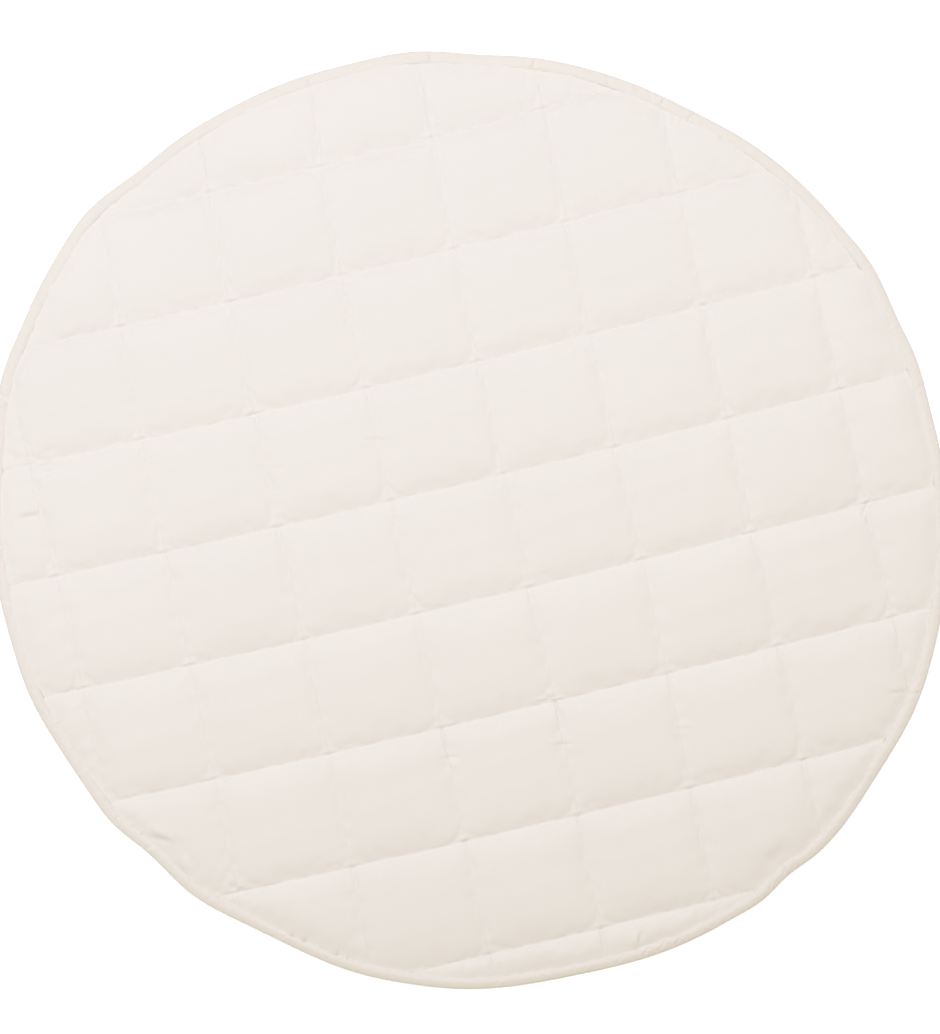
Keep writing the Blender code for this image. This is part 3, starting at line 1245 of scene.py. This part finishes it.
@dataclass
class Binding:
    """The cotton strip folded over the rim: a soft roll, pressed down along its line of stitches.

    The section's columns are inset from the outline and height, in millimetres.
    """

    outline: Outline
    hem: Hem
    name: str = "folded_binding"
    node: str = "binding"
    slot: str = "binding_cloth"
    around: int = 2000
    spin_steps: int = 250
    section_points: int = 44
    bead: float = 0.005
    cut_width: float = 0.036
    section_girth: float = 0.070
    stitch_lead: float = 0.0018
    stitch_level: float = 0.0063
    under_stitch_inset: float = 0.0122
    under_stitch_level: float = 0.0003
    ripple: float = 0.0009
    ripple_counts: tuple[int, ...] = (197, 251, 331)
    ripple_gather_counts: tuple[int, ...] = (23, 37)
    ripple_slant: float = 2.0
    ripple_edges: tuple[float, float, float, float] = (0.002, 0.009, 0.010, 0.015)
    far_calm: float = 0.5
    far_press: float = 0.0007
    press_edges: tuple[float, float, float, float] = (0.002, 0.006, 0.0085, 0.0125)
    section_hem: float = 0.014
    hem_shift_edges: tuple[float, float] = (0.005, 0.012)
    upper_from: float = 0.0055
    pleated_from: float = 0.0059
    pleat_scale: float = 1.5
    pleat_middle: float = 0.007
    pleat_edges: tuple[float, float, float, float] = (0.0005, 0.0035, 0.0105, 0.0125)
    pleat_ridge: tuple[float, float] = (0.5, 1.5)
    section: tuple[tuple[float, float], ...] = (
        (14.0, 0.50), (13.4, 0.20), (12.2, 0.30), (10.8, 0.02), (8.0, 0.00), (4.0, 0.00), (1.8, 0.45),
        (0.5, 1.70), (0.0, 2.90), (0.3, 4.10), (1.1, 5.25), (2.6, 6.30), (4.6, 7.05), (7.0, 7.45),
        (9.2, 7.40), (11.0, 6.90), (12.2, 6.30), (13.0, 6.35), (13.8, 5.90), (14.2, 4.70), (13.7, 4.60),
        (13.0, 5.45), (11.0, 5.60), (7.0, 5.62), (3.4, 5.62), (1.9, 5.30), (1.2, 4.50), (1.1, 3.30),
        (1.2, 2.10), (1.9, 1.25), (3.4, 1.00), (7.0, 1.00), (11.0, 1.00), (13.6, 0.98),
    )
    pleats: tuple[Pleat, ...] = table(
        Pleat, (94.8, 0.1, 0.0016, 0.0010), (110.1, -0.2, 0.0016, 0.0009), (81.8, 0.3, 0.0018, 0.0009),
        (65.1, 0.2, 0.0016, 0.0010), (61.0, 0.5, 0.0020, 0.0008), (72.4, -0.5, 0.0020, 0.0006),
        (152.9, 0.8, 0.0016, 0.0011), (165.5, 0.3, 0.0022, 0.0012), (183.4, 0.1, 0.0018, 0.0011),
        (220.6, -0.4, 0.0022, 0.0010), (225.8, 0.3, 0.0020, 0.0008), (284.5, 0.9, 0.0016, 0.0008),
        (288.8, 1.0, 0.0016, 0.0008), (292.1, 1.1, 0.0018, 0.0010), (294.2, 1.1, 0.0018, 0.0009),
        (296.4, 1.0, 0.0018, 0.0010), (309.4, 0.8, 0.0018, 0.0010), (311.7, 0.6, 0.0020, 0.0012),
        (313.2, 0.4, 0.0018, 0.0010), (338.5, -0.5, 0.0018, 0.0007),
    ) + scattered_pleats(64)
    body: Piece | None = field(default=None, repr=False)

    def profile(self) -> Array:
        """Spread the section's points evenly along its closed line.

        Returns:
            An array of inset and height in metres, one row for each point.
        """
        closed = np.array(self.section + self.section[:1]) * MM
        run = np.concatenate([[0.0], np.cumsum(np.hypot(*np.diff(closed, axis=0).T))])
        even = np.linspace(0.0, run[-1], self.section_points, endpoint=False)
        return np.stack([np.interp(even, run, closed[:, 0]), np.interp(even, run, closed[:, 1])], axis=1)

    def build(self) -> None:
        """Model the strip from a ring, laid along the outline and folded to its section."""
        radius = self.outline.radius
        deselect_all()
        bpy.ops.mesh.primitive_circle_add(vertices=self.section_points, radius=self.bead)
        self.body = bpy.context.object
        self.body.name = self.name
        with editing(self.body):
            bpy.ops.mesh.select_all(action="SELECT")
            bpy.ops.transform.rotate(value=0.5 * math.pi, orient_axis="X", center_override=(0.0, 0.0, 0.0))
            bpy.ops.transform.translate(value=(radius, 0.0, 0.0))
            bpy.ops.mesh.spin(steps=self.spin_steps, angle=TURN, use_auto_merge=True, center=(0.0, 0.0, 0.0),
                              axis=(0.0, 0.0, 1.0))
        self.cut_finer()
        points = points_of(self.body)
        turn = np.rint(np.arctan2(points[:, 1], points[:, 0]) / TURN * self.around).astype(int) % self.around
        section = np.arctan2(points[:, 2], np.hypot(points[:, 0], points[:, 1]) - radius)
        spot = np.rint(section / TURN * self.section_points).astype(int) % self.section_points
        inset, height = self.profile()[spot].T
        inset, height = self.soften(turn * TURN / self.around, inset, height)
        set_points(self.body, np.stack([*self.outline.places(turn * TURN / self.around, inset), height], axis=1))
        self.unroll(turn, spot)
        face_outward(self.body)

    def cut_finer(self) -> None:
        """Cut every stretch of the ring that runs round the mat into equal parts."""
        mesh = self.body.data
        points = points_of(self.body)
        ends = np.empty(len(mesh.edges) * 2, int)
        mesh.edges.foreach_get("vertices", ends)
        angle = np.arctan2(points[:, 1], points[:, 0])[ends.reshape(-1, 2)]
        mesh.edges.foreach_set("select", np.abs(np.sin(angle[:, 1] - angle[:, 0])) > 0.5 * TURN / self.spin_steps)
        make_active(self.body)
        bpy.context.tool_settings.mesh_select_mode = (False, True, False)
        bpy.ops.object.mode_set(mode="EDIT")
        bpy.ops.mesh.subdivide(number_cuts=self.around // self.spin_steps - 1)
        bpy.ops.object.mode_set(mode="OBJECT")

    def soften(self, angle: Array, inset: Array, height: Array) -> tuple[Array, Array]:
        """Ripple and pleat the strip's upper side, press it flatter at the far side, and lead its edge to the hem.

        Args:
            angle: each point's direction in radians.
            inset: its distance inside the outline.
            height: its height.

        Returns:
            Each point's new inset and height.
        """
        upper, pleated = height > self.upper_from, height > self.pleated_from
        far = 0.5 + 0.5 * np.sin(angle)
        gather = 0.5 + 0.5 * ring_waves(angle, self.ripple_gather_counts, Seed.RIPPLE_GATHER)
        wave = ring_waves(angle + inset * self.ripple_slant, self.ripple_counts, Seed.RIPPLE) * gather
        lift = self.ripple * (0.5 + 0.5 * wave) * plateau(inset, self.ripple_edges) * (1.0 - self.far_calm * far)
        lift = lift - self.far_press * far * plateau(inset, self.press_edges)
        height = height + np.where(upper, lift, 0.0) - np.where(pleated, self.pleat_depth(angle, inset), 0.0)
        shift = (self.hem.place(angle) - self.section_hem) * swell(inset, *self.hem_shift_edges)
        return inset + np.where(upper, shift, 0.0), height

    def pleat_depth(self, angle: Array, inset: Array) -> Array:
        """Depth of the pleats, which cross the strip at a slant.

        Args:
            angle: each point's direction in radians.
            inset: its distance inside the outline.

        Returns:
            The depth at each point.
        """
        depth = np.zeros_like(angle)
        for pleat in self.pleats:
            away = np.radians(degrees_from(angle, pleat.angle)) * self.outline.radius
            across = away - pleat.slant * (inset - self.pleat_middle)
            depth += pleat.depth * crease(across, pleat.width, *self.pleat_ridge)
        return self.pleat_scale * depth * plateau(inset, self.pleat_edges)

    def unroll(self, turn: Array, spot: Array) -> None:
        """Lay out the strip's length and width as its UV map, so that the weave runs with the strip.

        Args:
            turn: each point's number round the mat.
            spot: each point's number round the section.
        """
        mesh = self.body.data
        for layer in list(mesh.uv_layers):
            mesh.uv_layers.remove(layer)
        layer = mesh.uv_layers.new(name="strip")
        corners = np.empty(len(mesh.loops), int)
        mesh.loops.foreach_get("vertex_index", corners)
        first = np.repeat(corners[::4], 4)
        length, breadth = turn[corners].astype(float), spot[corners].astype(float)
        length[(turn[first] == self.around - 1) & (length == 0)] = self.around
        far = np.repeat(spot[corners].reshape(-1, 4).max(axis=1), 4) == self.section_points - 1
        near = np.repeat(spot[corners].reshape(-1, 4).min(axis=1), 4) == 0
        breadth[far & near & (breadth == 0)] = self.section_points
        girth = TURN * self.outline.radius
        layer.data.foreach_set("uv", np.stack([length * girth / self.around,
                                               breadth * self.section_girth / self.section_points], axis=1).ravel())

    def dress(self, material: Material, pad: QuiltedPad) -> None:
        """Give the strip its finish and hide the imported part that it replaces.

        Args:
            material: its cotton.
            pad: the pad that it is folded over; not used.
        """
        piece = self.body
        dress_piece(piece, material)
        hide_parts(self.node)


# Sewing


class Side(Enum):
    """The face of the mat on which stitches lie."""

    TOP = "top"
    UNDER = "under"


@dataclass
class Stitching:
    """Lock stitches: short lengths of thread that dip into the cloth at both ends."""

    pad: QuiltedPad
    binding: Binding
    pitch: float = 0.0034
    length: float = 0.0027
    thickness: float = 0.00042
    sunk: float = 0.00006
    clear_of_hem: float = 0.0008

    def one_stitch(self) -> tuple[Array, Array]:
        """Model one stitch as a stretched bead.

        Returns:
            Its points and its faces, as triangles.
        """
        deselect_all()
        bpy.ops.mesh.primitive_ico_sphere_add(subdivisions=1, radius=0.5)
        bead = bpy.context.object
        points = points_of(bead)
        faces = np.empty(len(bead.data.polygons) * 3, int)
        bead.data.polygons.foreach_get("vertices", faces)
        bpy.data.objects.remove(bead, do_unlink=True)
        return points * np.array([self.length, self.thickness, self.thickness]), faces.reshape(-1, 3)

    def sew(self, name: str, places: Array, heads: Array) -> Piece:
        """Copy the stitch to every place.

        Args:
            name: the piece's name.
            places: the middle of each stitch.
            heads: each stitch's direction, in radians.

        Returns:
            All the stitches as one piece.
        """
        points, faces = self.one_stitch()
        cos, sin = np.cos(heads)[:, None], np.sin(heads)[:, None]
        x = points[None, :, 0] * cos - points[None, :, 1] * sin
        y = points[None, :, 0] * sin + points[None, :, 1] * cos
        z = np.broadcast_to(points[None, :, 2], x.shape)
        laid = np.stack([x, y, z], axis=2) + places[:, None, :]
        numbers = faces[None, :, :] + (np.arange(len(places)) * len(points))[:, None, None]
        mesh = bpy.data.meshes.new(name)
        mesh.from_pydata(laid.reshape(-1, 3), [], numbers.reshape(-1, 3))
        return put_in_scene(name, mesh)

    def quilting_run(self, run: Run, side: Side) -> Piece:
        """Sew all the seams that run one way, on one face.

        Args:
            run: which way they run.
            side: the face that the stitches lie on.

        Returns:
            The stitches as one piece.
        """
        pad = self.pad
        along = np.arange(-pad.outline.radius, pad.outline.radius, self.pitch)
        places, heads = [], []
        for number in range(len(pad.quilting.seams(run))):
            x, y = pad.quilting.trace(run, number, along)
            ahead_x, ahead_y = pad.quilting.trace(run, number, along + self.pitch)
            inside = pad.outline.inset(x, y) > pad.hem.place(np.arctan2(y, x)) + self.clear_of_hem
            x, y = x[inside], y[inside]
            heads.append(np.arctan2(ahead_y[inside] - y, ahead_x[inside] - x))
            if side is Side.TOP:
                z = pad.top_height(x, y) + self.thickness / 2 - self.sunk
            else:
                z = pad.under_height(x, y) - self.thickness / 2 + self.sunk
            places.append(np.stack([x, y, z], axis=1))
        return self.sew(f"{run.value}_stitches_{side.value}", np.vstack(places), np.concatenate(heads))

    def binding_run(self, side: Side) -> Piece:
        """Sew the line that holds the binding down, on one face.

        Args:
            side: the face that the stitches lie on.

        Returns:
            The stitches as one piece.
        """
        binding, count = self.binding, int(TURN * self.pad.outline.radius / self.pitch)
        angle = np.arange(count) * TURN / count
        rise = self.thickness / 2 - self.sunk
        if side is Side.TOP:
            inset, level = self.pad.hem.place(angle) - binding.stitch_lead, binding.stitch_level + rise
        else:
            inset, level = binding.under_stitch_inset, binding.under_stitch_level - rise
        x, y = self.pad.outline.places(angle, inset)
        heads = np.arctan2(np.roll(y, -1) - np.roll(y, 1), np.roll(x, -1) - np.roll(x, 1))
        return self.sew(f"binding_stitches_{side.value}", np.stack([x, y, np.full(count, level)], axis=1), heads)

    def build(self, material: Material) -> None:
        """Sew the whole mat.

        Args:
            material: the thread.
        """
        pieces = [(self.quilting_run(run, side), self.pad.slot) for run in Run for side in Side]
        pieces += [(self.binding_run(side), self.binding.slot) for side in Side]
        for piece, slot in pieces:
            dress_piece(piece, material)


# The studio


@dataclass(frozen=True)
class Studio:
    """A pale floor, a warm pale surround, one long soft lamp over the mat's far part, and the camera above it."""

    floor_size: float = 12.0
    floor_drop: float = 0.0004
    floor_color: Color = (0.98, 0.98, 0.98)
    floor_glow: float = 0.16
    surround_color: Color = (1.0, 0.832, 0.436)
    horizon: float = 0.321
    zenith: float = 0.646
    lamp_place: tuple[float, float, float] = (-0.47, 0.60, 3.10)
    lamp_color: Color = (1.0, 1.166, 1.57)
    lamp_sides: tuple[float, float] = (6.0, 0.6)
    lamp_turn: float = 13.4
    lamp_power: float = 86.7
    view_height: float = 1.0921
    view_middle: tuple[float, float] = (0.0005, 0.0012)
    view_level: float = 0.0035
    camera_distance: float = 2.4
    sensor: float = 36.0

    def lay_floor(self) -> None:
        """Lay the floor."""
        deselect_all()
        bpy.ops.mesh.primitive_plane_add(size=self.floor_size, location=(0.0, 0.0, -self.floor_drop))
        floor = bpy.context.object
        floor.name = "floor"
        finish, make, shader = new_finish("pale_floor")
        make.feed(shader, {"Base Color": (*self.floor_color, 1.0), "Roughness": 1.0, "Specular IOR Level": 0.0,
                           "Emission Color": (1.0, 1.0, 1.0, 1.0), "Emission Strength": self.floor_glow})
        floor.data.materials.append(finish)

    def light(self) -> None:
        """Light the mat from a pale room, brightest overhead, and from a long lamp that lies along the rows."""
        world = bpy.data.worlds.new("pale_surround")
        bpy.context.scene.world = world
        world.use_nodes = True
        make = NodeMaker(world.node_tree)
        place = make.add("ShaderNodeTexCoord")
        split = make.add("ShaderNodeSeparateXYZ", {0: place.outputs["Generated"]})
        rise = make.math("MAXIMUM", split.outputs["Z"], 0.0)
        strength = make.math("MULTIPLY_ADD", rise, self.zenith - self.horizon, self.horizon)
        make.feed(world.node_tree.nodes["Background"], {"Color": (*self.surround_color, 1.0), "Strength": strength})
        lamp = bpy.data.lights.new("soft_lamp", "AREA")
        lamp.shape = "RECTANGLE"
        lamp.size, lamp.size_y = self.lamp_sides
        lamp.energy, lamp.color = self.lamp_power, self.lamp_color
        holder = put_in_scene("soft_lamp", lamp)
        holder.location = self.lamp_place
        holder.rotation_euler = (0.0, 0.0, math.radians(self.lamp_turn))

    def set_camera(self) -> None:
        """Look straight down on the mat."""
        lens = bpy.data.cameras.new("camera")
        lens.sensor_width = self.sensor
        lens.lens = self.sensor * self.camera_distance / self.view_height
        camera = put_in_scene("camera", lens)
        camera.location = (*self.view_middle, self.camera_distance + self.view_level)
        bpy.context.scene.camera = camera
        bpy.context.scene.view_settings.view_transform = "Standard"


def main() -> None:
    """Build the mat and its studio."""
    logging.basicConfig(level=logging.INFO, format="%(name)s: %(message)s")
    outline, hem = Outline(), Hem()
    weave, tone = PlainWeave().group(), CottonTone().group()
    cotton = CottonFinish("cream_cotton", (0.825, 0.775, 0.725), Layout.PLANE, turn=-13.4)
    # The binding's steep sides get a paler, cooler colour as painted light from the pale surroundings.
    strip = CottonFinish("cream_binding", (0.81, 0.752, 0.690), Layout.STRIP, turn=45.0,
                         painted_side_light_color=(0.83, 0.81, 0.81))
    thread = ThreadFinish("cream_thread", (0.82, 0.78, 0.72))
    pad = QuiltedPad(outline, Quilting(), hem)
    pad.build()
    pad.dress(cotton.material(weave, tone))
    binding = Binding(outline, hem)
    binding.build()
    binding.dress(strip.material(weave, tone), pad)
    Stitching(pad, binding).build(thread.material())
    studio = Studio()
    studio.lay_floor()
    studio.light()
    studio.set_camera()


if __name__ == "__main__":
    main()
